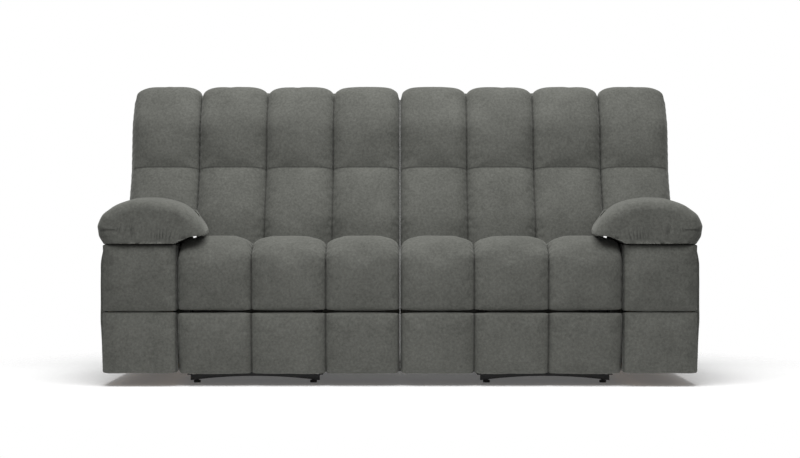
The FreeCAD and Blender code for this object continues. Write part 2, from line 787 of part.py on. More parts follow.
# Back frame: stiles and rails in the plane of the leaning back
frame_near = back_soft + strap_thick + 3 * fit
frame_far = frame_near + frame_deep
hinge_v = (hinge_d - back_foot_d) * sine(lean) + (hinge_z - back_foot_z) * cosine(lean)
hinge_w = (hinge_d - back_foot_d) * cosine(lean) - (hinge_z - back_foot_z) * sine(lean)
stile_low = hinge_v + 22
stile_high = back_long - 64
stile_x = plate_x(1) + steel + fit
low_rail = stile_low + 40
high_rail = stile_high - rail_wide - fit
rail_rows = (("Low", low_rail), ("Lumbar", (low_rail + back_row) / 2), ("Middle", back_row),
             ("Shoulder", (back_row + high_rail) / 2), ("High", high_rail))
ear_v = (ear_low - back_foot_z + 12 + frame_far * sine(lean)) / cosine(lean)
lengthwise = [
    ("Centre", unit_left_edge + 8, stile_low),
    ("Inner", 2 * unit_middle - stile_x - rail_wide, stile_low),
    ("Outer", stile_x, stile_low),
    ("Ear", arm_right - 8 - rail_wide, ear_v),
]
back_boards = []
for name, x, low in lengthwise:
    back_boards.append(block(name + "Stile", (x, frame_near, low),
                             (x + rail_wide, frame_far, stile_high), back_frame))
for (name, x, _), (_, next_x, _) in zip(lengthwise, lengthwise[1:]):
    for row, low in rail_rows:
        if name == "Outer" and row == "Low":
            continue
        if name == "Outer" and row == "Lumbar":
            low = ear_v
        room = fit
        if name == "Inner" and row == "Low":
            room = steel + 2 * fit
        back_boards.append(block(name + row + "Rail", (x + rail_wide + room, frame_near, low),
                                 (next_x - room, frame_far, low + rail_wide), back_frame))
both_sides("back_frame", back_boards)

# Back hinge brackets, screwed to the inner faces of the stiles
hinge_link = link("BackBracket", 1, hinge, 90 - lean, Size(150), 2 * hinge_radius)
hinge_link = bored("BackBracket", hinge_link, 1, hinge)
both_sides("back_hinge_brackets", paired("BackBracket", hinge_link))

# Elastic webbing across the back
back_straps = []
strap_near = back_soft + fit
strap_step = (high_rail - low_rail - rail_wide) / 5
for row in range(5):
    low = low_rail + rail_wide + (row + 0.5) * strap_step - strap / 2
    right = arm_right - 12 if row else stile_x + rail_wide - 3
    back_straps.append(block(f"BackStrap{row}", (unit_left_edge + 12, strap_near, low),
                             (right, strap_near + strap_thick, low + strap), back_frame))
both_sides("back_webbing", back_straps)


def ear_clear(name, soft_item):
    """Cut away the part of a full-width back piece that would stand in the arm."""
    below = block(name + "ArmRoom", (unit_right_edge, depth(seat_depth / 2), 0),
                  (arm_right + column, depth(body_depth + column), ear_low))
    return cut(name + "Eared", soft_item, below)


# Back cushion: four sewn channels in two rows
back_seams = seams[:3] + [unit_right.number, arm_right.number]
back_thick, back_top, row_high, over_frame, frame_top = numbers(
    back_soft, back_long, back_row, frame_far, stile_high + 2)
back_corners = [
    (16, 0, 0, True),
    (back_thick, 0, 0, True),
    (back_thick, frame_top, 0, True),
    (over_frame, frame_top, 0, True),
    (over_frame, back_top - 8, 0, False),
    (76, back_top + 2, 60, False),
    (24, back_top - 24, 48, False),
    (-12, 0.5 * row_high + 0.5 * back_top, 160, False),
    (26, row_high, 0, False),
    (-12, 0.47 * row_high, 160, False),
]
back_pad = soft("BackPad", channel_stations(back_seams), back_corners, back_valley, back_frame)
both_sides("back_cushion", [ear_clear("BackPad", back_pad)])

# Upholstered panel over the rear of the back
shell_near = frame_far + fit
shell_in, shell_out, shell_low = numbers(
    shell_near, shell_near + shell_soft + shell_crown, hinge_v + 10)
shell_corners = [
    (shell_in, shell_low, 0, False),
    (shell_out - 20, shell_low, 30, False),
    (shell_out, 0.5 * (shell_low + back_top), 900, False),
    (shell_out - 20, back_top - 16, 34, False),
    (shell_in + 14, back_top + 2, 0, False),
    (shell_in, back_top - 8, 0, True),
]
shell_stations = [(unit_left_edge.number, 0.0), (unit_left_edge.number + 60, 0.7),
                  (unit_middle.number, 1.0), (arm_right.number - 60, 0.7), (arm_right.number, 0.0)]
shell_pad = soft("BackShell", shell_stations, shell_corners, shell_crown, back_frame)
gusset = Size(7)
shell_sides = [
    block("CentreGusset", (unit_left_edge, frame_near, stile_low),
          (unit_left_edge + gusset, frame_far + 1, stile_high), back_frame),
    block("EarGusset", (arm_right - gusset, frame_near, ear_v - 20),
          (arm_right, frame_far + 1, stile_high), back_frame),
]
back_shell = joined("BackShellSewn", [ear_clear("BackShell", shell_pad)] + shell_sides)
both_sides("back_outer_panel", [back_shell])

# Arm frame: two side panels with boards between them
panel_low = floor_gap + 2
panel_front = pad_thick + 16
panel_in = arm_inside
panel_out = arm_right - 12 - board


def side_outline(low, front, rear, lower_by):
    """The side view of the arm: level under the pillow, lower behind it."""
    return [
        (depth(front), low),
        (depth(rear), low),
        (depth(rear), arm_rear_top - lower_by),
        (depth(arm_slope_end), arm_rear_top - lower_by),
        (depth(arm_slope_start), arm_top - lower_by),
        (depth(front), arm_top - lower_by),
    ]


panel_points = side_outline(panel_low, panel_front, body_depth, 0)
inner_panel = plate("ArmInnerPanel", panel_in, board, panel_points)
outer_panel = plate("ArmOuterPanel", panel_out, board, panel_points)
cup_room = block("CupRoomFrame",
                 (panel_out - 1, depth(cup_d) - fit, cup_z - fit),
                 (panel_out + board + 1, depth(cup_d + cup_long) + fit, cup_z + cup_tall + fit))
outer_panel = cut("ArmOuterPanelCut", outer_panel, cup_room)
between_in = panel_in + board + fit
between_out = panel_out - fit
slope_seat = arm_slope_start - board
slope_points = [
    (depth(slope_seat + fit), arm_top - board),
    (depth(slope_seat + fit), arm_top),
    (depth(arm_slope_start), arm_top),
    (depth(arm_slope_end), arm_rear_top),
    (depth(arm_slope_end), arm_rear_top - board),
    (depth(arm_slope_end - board), arm_rear_top - board),
    (depth(arm_slope_start - board / 2), arm_top - board),
]
arm_boards = [
    inner_panel,
    outer_panel,
    block("ArmFrontBoard", (between_in, depth(panel_front), panel_low),
          (between_out, depth(panel_front + board), arm_top)),
    block("ArmRearBoard", (between_in, depth(body_depth - board), panel_low),
          (between_out, depth(body_depth), arm_rear_top)),
    block("ArmTopBoard", (between_in, depth(panel_front + board + fit), arm_top - board),
          (between_out, depth(slope_seat), arm_top)),
    plate("ArmSlopeBoard", between_in, between_out - between_in, slope_points),
    block("ArmDeckBoard", (between_in, depth(arm_slope_end + fit), arm_rear_top - board),
          (between_out, depth(body_depth - board - fit), arm_rear_top)),
    block("ArmFloorRail", (between_in, depth(panel_front + board + fit), panel_low),
          (between_in + 2 * board, depth(body_depth - board - fit), panel_low + board)),
]
both_sides("arm_frame", arm_boards)

# Padded outer side of the arm, with room for the release cup
cup_flange = Size(8)
outer_face = panel_out + board + fit


def across(name, stations):
    """An upholstered form: a ruled loft from front to rear through outlines square to Y."""
    wires = []
    for y, outline in stations:
        wires.append(section(lambda point, y=y: Vector(point.x, y, point.y), outline))
    item = doc.addObject("Part::Feature", name)
    item.Shape = lofted(wires)
    return item


def side_section(top, bulge):
    """Outer side pad, square to Y: nearly flat, tucked in above and below."""
    near, low = numbers(outer_face, floor_gap)
    far = near + bulge
    corners = [
        (near, low, 0, True),
        (far - 7, low, 0, True),
        (far, low + 170, 0, True),
        (far, top - 60, 0, True),
        (far - 13, top, 0, True),
        (near, top, 0, True),
    ]
    return drawn_in(corners, 0)


front_start = depth(panel_front).number
pad_tops = (arm_top.number, arm_rear_top.number)
full_bulge = side_bulge.number
side_stations = [
    (front_start, side_section(pad_tops[0], 0.6 * full_bulge)),
    (front_start + 22, side_section(pad_tops[0], full_bulge)),
    (depth(arm_slope_start).number, side_section(pad_tops[0], full_bulge)),
    (depth(arm_slope_end).number, side_section(pad_tops[1], full_bulge)),
    (depth(body_depth).number - 22, side_section(pad_tops[1], full_bulge)),
    (depth(body_depth).number, side_section(pad_tops[1], 0.6 * full_bulge)),
]
side_pad = across("ArmSidePad", side_stations)
cup_hole = block("CupRoomPad",
                 (outer_face - 1, depth(cup_d) - fit, cup_z - fit),
                 (outer_face + side_bulge + 5, depth(cup_d + cup_long) + fit, cup_z + cup_tall + fit))
both_sides("arm_outer_pad", [cut("ArmSidePadCut", side_pad, cup_hole)])

# Padded inner side of the arm, beside the seat
inner_points = side_outline(panel_low + 60, panel_front, body_depth - 45, 0)
both_sides("arm_inner_pad", [plate("ArmInnerPad", unit_right + fit, board, inner_points)])

# Front pads of the arm, which repeat the seat front and the footrest
arm_sides = [(unit_right + 2).number, arm_right.number]
arm_stations = channel_stations(arm_sides)
arm_pad_rear = depth(panel_front) - fit
upper_corners = front_pad_corners(front_y, arm_pad_rear, row_split + row_gap / 2, arm_top)
lower_corners = front_pad_corners(front_y, arm_pad_rear, floor_gap, row_split - row_gap / 2)
upper_pad = soft("ArmUpperPad", arm_stations, upper_corners, valley)
lower_pad = soft("ArmLowerPad", arm_stations, lower_corners, valley)
both_sides("arm_upper_front_pad", [upper_pad])
both_sides("arm_lower_front_pad", [lower_pad])

# Pillow top of the arm
pillow_low = arm_top + 1.5 * fit
pillow_left = unit_right - pillow_in
pillow_right = arm_right + pillow_out
pillow_edge, pillow_end, pillow_foot, pillow_top, pillow_lip = numbers(
    pillow_left, pillow_right, pillow_low, pillow_crest, seat_crest + 6)
pillow_step = unit_right.number + 4
pillow_corners = [
    (pillow_step, pillow_foot, 0, True),
    (pillow_end - 24, pillow_foot, 0, False),
    (pillow_end + 2, pillow_foot + 46, 50, False),
    (pillow_end - 70, pillow_top + 2, 110, False),
    (pillow_edge + 104, pillow_top + 2, 130, False),
    (pillow_edge - 4, pillow_lip + 46, 40, False),
    (pillow_edge + 14, pillow_lip, 0, True),
    (pillow_step, pillow_lip, 0, True),
]
pillow_stations = []
for place, drawn in ((0, 36), (12, 16), (44, 4), (110, 0)):
    pillow_stations.append((depth(place).number, drawn_in(pillow_corners, drawn)))
for place, drawn in ((-70, 0), (-20, 6), (0, 26)):
    pillow_stations.append((depth(pillow_depth + place).number, drawn_in(pillow_corners, drawn)))
both_sides("arm_pillow", [across("ArmPillow", pillow_stations)])

# Rear apron between the arm and the middle of the sofa
apron_front = body_depth - apron_soft
apron_near, apron_far, apron_low, apron_top = numbers(
    depth(apron_front), depth(apron_front + apron_soft), floor_gap + 2, arm_rear_top)
apron_corners = [
    (apron_near, apron_low, 0, True),
    (apron_far, apron_low, 0, False),
    (apron_far, apron_top, 18, False),
    (apron_near, apron_top, 0, True),
]
apron_stations = [(centre_gap.number, 0.0), (centre_gap.number + 30, 1.0),
                  (unit_right.number - 30, 1.0), (unit_right.number, 0.0)]
both_sides("rear_apron", [soft("RearApron", apron_stations, apron_corners, Size(8))])

# Release cup in the outer side of the arm, and the lever inside it
cup_out = arm_right + side_bulge - 9
cup_in = cup_out - cup_deep
cup_far = depth(cup_d + cup_long)
cup_near = depth(cup_d)
shell = block("CupShell", (cup_in, cup_near, cup_z), (cup_out, cup_far, cup_z + cup_tall))
collar = block("CupCollar", (cup_out - 0.5, cup_near - cup_flange, cup_z - cup_flange),
               (cup_out + 2, cup_far + cup_flange, cup_z + cup_tall + cup_flange))
hollow = block("CupHollow", (cup_in + cup_wall, cup_near + cup_wall, cup_z + cup_wall),
               (cup_out + 3, cup_far - cup_wall, cup_z + cup_tall - cup_wall))
both_sides("release_cup", [cut("ReleaseCup", joined("CupBody", [shell, collar]), hollow)])
lever_x = cup_out - 8
lever_pin = Size(5)
lever_top = cup_z + cup_tall - cup_wall - lever_pin - 1
lever_plate = block("LeverPlate", (lever_x - 2, cup_near + cup_wall + 6, cup_z + 34),
                    (lever_x + 2, cup_far - cup_wall - 6, lever_top))
lever_lip = block("LeverLip", (lever_x - 8, cup_near + cup_wall + 6, cup_z + 34),
                  (lever_x + 2, cup_far - cup_wall - 6, cup_z + 38))
lever_rod = doc.addObject("Part::Cylinder", "LeverRod")
bind(lever_rod, "Radius", lever_pin)
bind(lever_rod, "Height", cup_long - 2 * cup_wall - 2 * fit)
lever_place = "; ".join(value.text for value in (lever_x, cup_near + cup_wall + fit, lever_top))
lever_rod.setExpression("Placement", f"placement(vector({lever_place}); "
                                     "rotation(vector(1; 0; 0); -90))")
both_sides("release_lever", [joined("ReleaseLever", [lever_plate, lever_lip, lever_rod])])

doc.recompute()

for item in doc.Objects:
    if "Invalid" in item.State or "Error" in item.State:
        raise RuntimeError(f"{item.Label} did not compute: {item.State}")
for label, item in nodes.items():
    if item.Shape.isNull() or not item.Shape.isValid() or not item.Shape.Solids:
        raise RuntimeError(f"{label} has no valid shape")

os.makedirs("parts", exist_ok=True)
for label, item in nodes.items():
    item.Shape.exportStep(f"parts/{label}.step")
print(len(nodes), "sub-parts")
print("footrest pivots", [(round(y.number, 2), round(z.number, 2)) for y, z in (
    drive_pivot, guide_pivot, knee, tail, toe, toe_low)])
print("hinge", hinge[0].number, hinge[1].number, "swing", swing_back.number, swing_top_z.number)
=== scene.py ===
import math

import bmesh
import bpy
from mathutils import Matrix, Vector, noise


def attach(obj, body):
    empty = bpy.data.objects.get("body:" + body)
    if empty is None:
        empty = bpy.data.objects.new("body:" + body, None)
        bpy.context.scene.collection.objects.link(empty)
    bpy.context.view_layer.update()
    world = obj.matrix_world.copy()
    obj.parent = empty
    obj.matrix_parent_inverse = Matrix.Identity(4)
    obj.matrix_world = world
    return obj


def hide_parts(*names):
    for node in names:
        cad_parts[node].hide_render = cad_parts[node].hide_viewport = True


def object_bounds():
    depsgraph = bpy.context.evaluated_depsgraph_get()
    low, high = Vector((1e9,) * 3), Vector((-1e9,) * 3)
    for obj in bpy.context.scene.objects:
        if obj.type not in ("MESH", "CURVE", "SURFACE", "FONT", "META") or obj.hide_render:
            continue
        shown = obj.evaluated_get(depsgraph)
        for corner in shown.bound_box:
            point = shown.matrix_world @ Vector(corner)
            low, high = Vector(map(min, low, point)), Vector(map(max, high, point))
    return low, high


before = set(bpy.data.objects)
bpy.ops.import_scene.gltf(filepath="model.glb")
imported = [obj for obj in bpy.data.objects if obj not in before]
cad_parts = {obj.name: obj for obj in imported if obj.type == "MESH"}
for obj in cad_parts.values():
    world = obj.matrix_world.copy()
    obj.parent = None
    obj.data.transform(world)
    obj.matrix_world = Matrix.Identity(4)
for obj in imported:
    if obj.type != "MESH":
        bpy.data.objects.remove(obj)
cad_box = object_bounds()
scene = bpy.context.scene
scene.view_settings.view_transform = "Standard"
bpy.ops.object.select_all(action="DESELECT")

# Viewpoint: a level camera in front of the middle of the sofa, a little above the seat,
# as a catalogue shows such a sofa.
front_plane = cad_box[0].y
camera_distance = 5.7
eye_height = 0.53
camera_data = bpy.data.cameras.new("front_camera")
camera_data.lens = 76.6
camera_data.sensor_width = 36
camera = bpy.data.objects.new("front_camera", camera_data)
camera.location = (0, front_plane - camera_distance, eye_height)
camera.rotation_euler = (math.pi / 2, 0, 0)
scene.collection.objects.link(camera)
scene.camera = camera


# Mechanism base: two side rails on arched cross bars, tied from unit to unit, in black
# powder coat. The CAD parts stay; the coat has the fine orange peel of baked powder.
class Value:
    """A shader socket. Sums and products of sockets and numbers add Math nodes."""

    def __init__(self, tree, socket):
        self.tree = tree
        self.socket = socket

    def worked(self, operation, first, second, clamp=False):
        node = self.tree.nodes.new("ShaderNodeMath")
        node.operation = operation
        node.use_clamp = clamp
        for place, value in zip(node.inputs, (first, second)):
            if isinstance(value, Value):
                self.tree.links.new(value.socket, place)
            else:
                place.default_value = value
        return Value(self.tree, node.outputs[0])

    def __add__(self, other):
        return self.worked("ADD", self, other)

    def __sub__(self, other):
        return self.worked("SUBTRACT", self, other)

    def __mul__(self, other):
        return self.worked("MULTIPLY", self, other)

    def __rsub__(self, other):
        return self.worked("SUBTRACT", other, self)

    __radd__ = __add__
    __rmul__ = __mul__

    def kept_in(self):
        return self.worked("ADD", self, 0.0, clamp=True)


class Finish:
    """A material under construction, on the object's own coordinates."""

    def __init__(self, name, **constants):
        self.material = bpy.data.materials.new(name)
        self.material.use_nodes = True
        self.tree = self.material.node_tree
        self.shader = self.tree.nodes["Principled BSDF"]
        for socket, value in constants.items():
            self.shader.inputs[socket.replace("_", " ")].default_value = value
        self.place = self.node("ShaderNodeTexCoord", "Object")

    def node(self, kind, output=0, settings=None, sockets=None):
        """Add any node and return one of its outputs."""
        node = self.tree.nodes.new(kind)
        for name, value in (settings or {}).items():
            setattr(node, name, value)
        for key, value in (sockets or {}).items():
            if isinstance(value, Value):
                self.tree.links.new(value.socket, node.inputs[key])
            else:
                node.inputs[key].default_value = value
        return Value(self.tree, node.outputs[output])

    def speckle(self, scale, detail=2.0, roughness=0.5, stretch=None):
        """Noise from 0 to 1, with scale in features a metre."""
        place = self.place
        if stretch:
            place = self.node("ShaderNodeVectorMath", 0, {"operation": "MULTIPLY"},
                              {0: place, 1: stretch})
        return self.node("ShaderNodeTexNoise", 0, None,
                         {"Vector": place, "Scale": scale, "Detail": detail, "Roughness": roughness})

    def mixed(self, share, first, second):
        return self.node("ShaderNodeMix", 2, {"data_type": "RGBA"}, {0: share, 6: first, 7: second})

    def feed(self, socket, value):
        self.tree.links.new(value.socket, self.shader.inputs[socket])

    def raise_by(self, height, distance, strength=1.0):
        """Bump the surface by a height that runs from 0 to 1."""
        bump = self.node("ShaderNodeBump", 0, None,
                         {"Height": height, "Distance": distance, "Strength": strength})
        self.feed("Normal", bump)


def coat(finish, *nodes):
    """Give CAD parts a finish in place of the one they were packed with."""
    for node in nodes:
        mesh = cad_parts[node].data
        mesh.materials.clear()
        mesh.materials.append(finish.material)


def each_side(*names):
    return [f"{name}_{side}" for name in names for side in ("left", "right")]


powder_coat = Finish("black_powder_coat", Coat_Weight=0.15, Coat_Roughness=0.3)
peel = powder_coat.speckle(900, 1.0)
wear = powder_coat.speckle(35, 4.0, 0.65)
powder_coat.feed("Base Color",
                 powder_coat.mixed(wear, (0.010, 0.010, 0.011, 1), (0.019, 0.019, 0.020, 1)))
powder_coat.feed("Roughness", (0.42 + 0.16 * wear).kept_in())
powder_coat.raise_by(peel, 0.0002, 0.5)
coat(powder_coat, "unit_tie_bars", *each_side("mechanism_base"))

# Leveling glides: moulded feet on threaded stems with a nut above and below the bar,
# which sets their height.
glide_finish = Finish("glide_plastic")
grain = glide_finish.speckle(700, 2.0)
glide_finish.feed("Base Color",
                  glide_finish.mixed(grain, (0.012, 0.012, 0.012, 1), (0.024, 0.024, 0.024, 1)))
glide_finish.feed("Roughness", 0.5 + 0.2 * grain)
glide_finish.raise_by(grain, 0.0002, 0.4)
coat(glide_finish, *each_side("leveling_glides"))

# Linkage: stamped plates and links with riveted pivots, phosphated black and lightly
# oiled, so that they look duller and streakier than the powder coat.
phosphate = Finish("phosphated_steel", Metallic=0.75)
streak = phosphate.speckle(60, 5.0, 0.6, (1.0, 1.0, 3.0))
pitting = phosphate.speckle(1400, 2.0)
phosphate.feed("Base Color",
               phosphate.mixed(streak, (0.030, 0.030, 0.032, 1), (0.072, 0.072, 0.074, 1)))
phosphate.feed("Roughness", (0.36 + 0.24 * streak).kept_in())
phosphate.raise_by(pitting, 0.0001, 0.4)
coat(phosphate, *each_side("seat_plates", "swing_links_front", "swing_links_rear",
                           "footrest_drive_links", "footrest_guide_links", "footrest_lift_links",
                           "footrest_outer_links", "footrest_brackets", "back_hinge_brackets"))

# Frames and footrest board: sawn hardwood rails and plywood boards, left bare, with the
# grain along the width of the sofa and a few darker streaks.
timber = Finish("bare_hardwood")
growth = timber.speckle(14, 6.0, 0.6, (0.25, 3.0, 3.0))
fibre = timber.speckle(420, 3.0, 0.6, (0.06, 1.0, 1.0))
timber_tone = timber.mixed(growth, (0.52, 0.36, 0.20, 1), (0.36, 0.22, 0.11, 1))
timber.feed("Base Color", timber.mixed(0.35 * fibre, timber_tone, (0.24, 0.14, 0.07, 1)))
timber.feed("Roughness", 0.62 + 0.2 * fibre)
timber.raise_by(fibre, 0.0004, 0.5)
coat(timber, *each_side("seat_frame", "back_frame", "arm_frame", "footrest_board"))

# Webbing: woven elastic straps under the seat and across the back, black with a rib
# every three or four millimetres both ways.
strapping = Finish("elastic_webbing")
ribs = {"Vector": strapping.place, "Scale": 90.0, "Distortion": 0.4}
weave = (strapping.node("ShaderNodeTexWave", 0, {"bands_direction": "X"}, ribs)
         * strapping.node("ShaderNodeTexWave", 0, {"bands_direction": "Y"}, ribs))
strapping.feed("Base Color",
               strapping.mixed(weave, (0.016, 0.016, 0.016, 1), (0.05, 0.05, 0.05, 1)))
strapping.feed("Roughness", 0.8 + 0.1 * weave)
strapping.raise_by(weave, 0.0005, 0.7)
coat(strapping, *each_side("seat_webbing", "back_webbing"))

# Seat cushions: foam in a cover of brushed microfibre, sewn into three channels that run
# back over the seat and roll down over the front. The cover is lofted from seam to seam,
# swollen by its filling with the seams held down, and worked over with slack and puckers.
# Name of the point attribute that carries the painted shade along the seams.
SEAM_SHADE = "painted_seam_shade"
suede = Finish("brushed_microfibre", Sheen_Weight=0.28, Sheen_Roughness=0.42,
               Sheen_Tint=(0.72, 0.73, 0.68, 1), Specular_IOR_Level=0.18)
nap = suede.speckle(950, 3.0, 0.7)
rubbed = suede.speckle(120, 4.0, 0.7)
cloud = suede.speckle(7, 3.0, 0.55)
seam_shade = suede.node("ShaderNodeAttribute", "Fac", {"attribute_name": SEAM_SHADE})
tone = (1.6 * (0.22 * cloud + 0.50 * rubbed + 0.28 * nap) - 0.34).kept_in()
brushed = suede.mixed(tone, (0.026, 0.027, 0.023, 1), (0.168, 0.170, 0.155, 1))
# Painted shade: the seam attribute mixes the cloth towards near-black along every seam, in place of
# the shade that falls in the seam's groove.
suede.feed("Base Color", suede.mixed(0.72 * seam_shade, brushed, (0.012, 0.012, 0.011, 1)))
suede.feed("Roughness", 0.86 + 0.12 * nap)
suede.raise_by(0.7 * nap + 0.3 * rubbed, 0.0009, 0.5)

COVER_STEP = 0.0095
TIGHTEST_BEND = 0.002
CHANNEL_STEPS = 24
FILLING_FRAMES = 20
FOLD_REACH = 0.02
SLACK_REACH = 0.03
# How far from a seam the painted shade reaches.
SEAM_SHADE_WIDTH = 0.0045
MIDDLE_ROOM = 0.0003


def ring(corners, inset, plan):
    """Points round an outline with rounded corners, drawn in along its soft edges.

    Each corner is (across, up, radius, firm), counter-clockwise, and the edge that
    starts at a firm corner stays where it is. A share in place of True is for a rim
    that gives a little. plan holds the steps on each bend and run; an empty one is
    filled, so that every ring of a cover has as many points.
    """
    lines = []
    for (across, up, _, firm), following in zip(corners, corners[1:] + corners[:1]):
        along = Vector((following[0] - across, following[1] - up)).normalized()
        inward = Vector((-along.y, along.x))
        lines.append((Vector((across, up)) + inward * inset * (1 - firm), along))
    bends = []
    fresh = not plan
    for row, (before, after) in enumerate(zip(lines[-1:] + lines[:-1], lines)):
        turn = before[1].cross(after[1])
        corner = before[0] + before[1] * ((after[0] - before[0]).cross(after[1]) / turn)
        radius = corners[row][2]
        if radius == 0:
            bends.append([corner])
            if fresh:
                plan.append(0)
            continue
        bend = max(radius - math.copysign(inset, turn), TIGHTEST_BEND)
        angle = math.asin(min(1, abs(turn)))
        if fresh:
            plan.append(max(2, round(radius * angle / COVER_STEP)))
        start = corner - before[1] * (bend * math.tan(angle / 2))
        side = Vector((-before[1].y, before[1].x)) * math.copysign(1, turn)
        centre = start + side * bend
        bends.append([centre - side * (bend * math.cos(angle * step / plan[row]))
                      + before[1] * (bend * math.sin(angle * step / plan[row]))
                      for step in range(plan[row] + 1)])
    points = []
    for row, (bend, following) in enumerate(zip(bends, bends[1:] + bends[:1])):
        firm = corners[row][3]
        was_firm = corners[row - 1][3]
        points += [(point, firm or was_firm or corners[row][2] == 0) for point in bend]
        length = (following[0] - bend[-1]).length
        if fresh:
            plan.append(max(1, round(length / COVER_STEP)))
        steps = plan[len(corners) + row]
        points += [(bend[-1].lerp(following[0], step / steps), firm) for step in range(1, steps)]
    return points


def channel_stations(seams, squareness=5.0):
    """Places and fullness across a row of sewn channels, closer together at the seams.

    The fullness runs from 0 at one seam to 1 between them and 0 at the next, and a
    higher squareness keeps the channel flat for longer.
    """
    stations = []
    for left, right in zip(seams, seams[1:]):
        for step in range(CHANNEL_STEPS):
            even = step / CHANNEL_STEPS
            share = 0.6 * (1 - math.cos(math.pi * even)) / 2 + 0.4 * even
            full = (1 - abs(2 * share - 1) ** squareness) ** 0.5
            stations.append((left + share * (right - left), full))
    stations.append((seams[-1], 0.0))
    return stations


def places_of(mesh, what="co"):
    flat = [0.0] * (3 * len(mesh.vertices))
    mesh.vertices.foreach_get(what, flat)
    return [Vector(flat[row:row + 3]) for row in range(0, len(flat), 3)]


def move_points(mesh, places):
    mesh.vertices.foreach_set("co", [value for place in places for value in place])
    mesh.update()


def new_piece(name, mesh):
    piece = bpy.data.objects.new(name, mesh)
    scene.collection.objects.link(piece)
    bpy.ops.object.select_all(action="DESELECT")
    piece.select_set(True)
    bpy.context.view_layer.objects.active = piece
    return piece


def sewn_cover(name, stations, corners_at, drawn, place, puff=0.0):
    """A closed cover lofted through rings, with the points that seams hold in a group.

    puff is how far the two side panels stand out in their middle.
    """
    plan = []
    rings = []
    first, last = stations[0][0], stations[-1][0]
    side_steps = ((0.0, 0.0), (0.3, 0.35), (0.6, 0.75), (0.85, 1.0))
    side_rows = [(first - puff * out, 0.0, drawn * (1 + share)) for share, out in side_steps]
    other_rows = [(last + puff * out, 0.0, drawn * (1 + share)) for share, out in side_steps]
    rows = side_rows[:0:-1] + [(x, full, drawn * (1 - full)) for x, full in stations] + other_rows[1:]
    held = []
    points = []
    for x, full, inset in rows:
        outline = ring(corners_at(x), inset, plan)
        rings.append(range(len(points), len(points) + len(outline)))
        for point, firm in outline:
            if firm or full == 0:
                held.append(len(points))
            points.append(place(x, point.x, point.y))
    faces = []
    for before, after in zip(rings, rings[1:]):
        for row in range(len(before)):
            ahead = (row + 1) % len(before)
            faces.append((before[row], after[row], after[ahead], before[ahead]))
    faces.append(tuple(rings[0]))
    faces.append(tuple(reversed(rings[-1])))
    mesh = bpy.data.meshes.new(name)
    mesh.from_pydata(points, [], faces)
    shape = bmesh.new()
    shape.from_mesh(mesh)
    bmesh.ops.triangulate(shape, faces=[face for face in shape.faces if len(face.verts) > 4])
    bmesh.ops.recalc_face_normals(shape, faces=shape.faces)
    shape.to_mesh(mesh)
    shape.free()
    piece = new_piece(name, mesh)
    piece.vertex_groups.new(name="held").add(held, 1.0, "REPLACE")
    return piece


def swell(piece, pressure=4.0, spare=0.02, most=0.012):
    """Let the filling press the cover out between the points that are held.

    spare is the share by which the cloth is cut larger, and most the farthest that a
    point may move.
    """
    cloth = piece.modifiers.new("Filling", "CLOTH")
    settings = cloth.settings
    settings.quality = 5
    settings.mass = 0.3
    settings.tension_stiffness = 12
    settings.compression_stiffness = 12
    settings.shear_stiffness = 5
    settings.bending_stiffness = 0.8
    settings.use_pressure = True
    settings.uniform_pressure_force = pressure
    settings.shrink_min = -spare
    settings.vertex_group_mass = "held"
    settings.effector_weights.gravity = 0
    cloth.collision_settings.use_collision = False
    cloth.point_cache.frame_start = 1
    cloth.point_cache.frame_end = FILLING_FRAMES
    rest = places_of(piece.data)
    for step in range(1, FILLING_FRAMES + 1):
        scene.frame_set(step)
    grown = piece.evaluated_get(bpy.context.evaluated_depsgraph_get())
    moves = [end - start for start, end in zip(rest, places_of(grown.data))]
    piece.modifiers.remove(cloth)
    scene.frame_set(1)
    move_points(piece.data, [start + move * min(1.0, most / max(move.length, 1e-9))
                             for start, move in zip(rest, moves)])


def worked_over(piece, crease, slack=0.0016, pucker=0.0005):
    """Subdivide a cover, paint shade along its seam lines and add the unevenness of real filling.

    crease gives a point's distance from the nearest seam and its place along it. The
    two units press against each other at the middle plane and never cross it.
    """
    bpy.context.view_layer.objects.active = piece
    modifier = piece.modifiers.new("Cover", "SUBSURF")
    modifier.levels = modifier.render_levels = 1
    modifier.use_limit_surface = False
    bpy.ops.object.modifier_apply(modifier=modifier.name)
    mesh = piece.data
    mesh.shade_smooth()
    worked = []
    painted_shade = []
    for point, normal in zip(places_of(mesh), places_of(mesh, "normal")):
        away, along = crease(point)
        lumps = noise.noise(point * 9.0) + 0.5 * noise.noise(point * 23.0)
        wander = 3 * noise.noise(point * 14)
        gathered = math.exp(-away / FOLD_REACH) * math.sin(along * 210 + wander)
        free = min(1.0, away / SLACK_REACH)
        place = point + normal * (slack * lumps * free + pucker * gathered)
        place.x = max(place.x, MIDDLE_ROOM)
        worked.append(place)
        # Painted shade along the seams: full on a seam, fading out a few millimetres from it.
        painted_shade.append(max(0.0, 1 - away / SEAM_SHADE_WIDTH))
    move_points(mesh, worked)
    mesh.attributes.new(SEAM_SHADE, "FLOAT", "POINT").data.foreach_set("value", painted_shade)


def upholstered(piece, body):
    """Cover a piece in suede and let it ride on a body."""
    piece.data.materials.clear()
    piece.data.materials.append(suede.material)
    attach(piece, body)


def twin(piece):
    """The mirror image of a right-hand piece, for the left unit."""
    mesh = piece.data.copy()
    copy = new_piece(piece.name.replace("_right", "_left"), mesh)
    move_points(mesh, [Vector((-point.x, point.y, point.z)) for point in places_of(mesh)])
    mesh.flip_normals()
    return copy


def pair(piece, body, node):
    """Finish a right-hand piece and its mirror image, which stand for CAD solids."""
    for item, side in ((piece, "right"), (twin(piece), "left")):
        upholstered(item, body if body == "root" else f"{body}_{side}")
        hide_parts(f"{node}_{side}")


def level(x, across, up):
    return Vector((x, across, up))


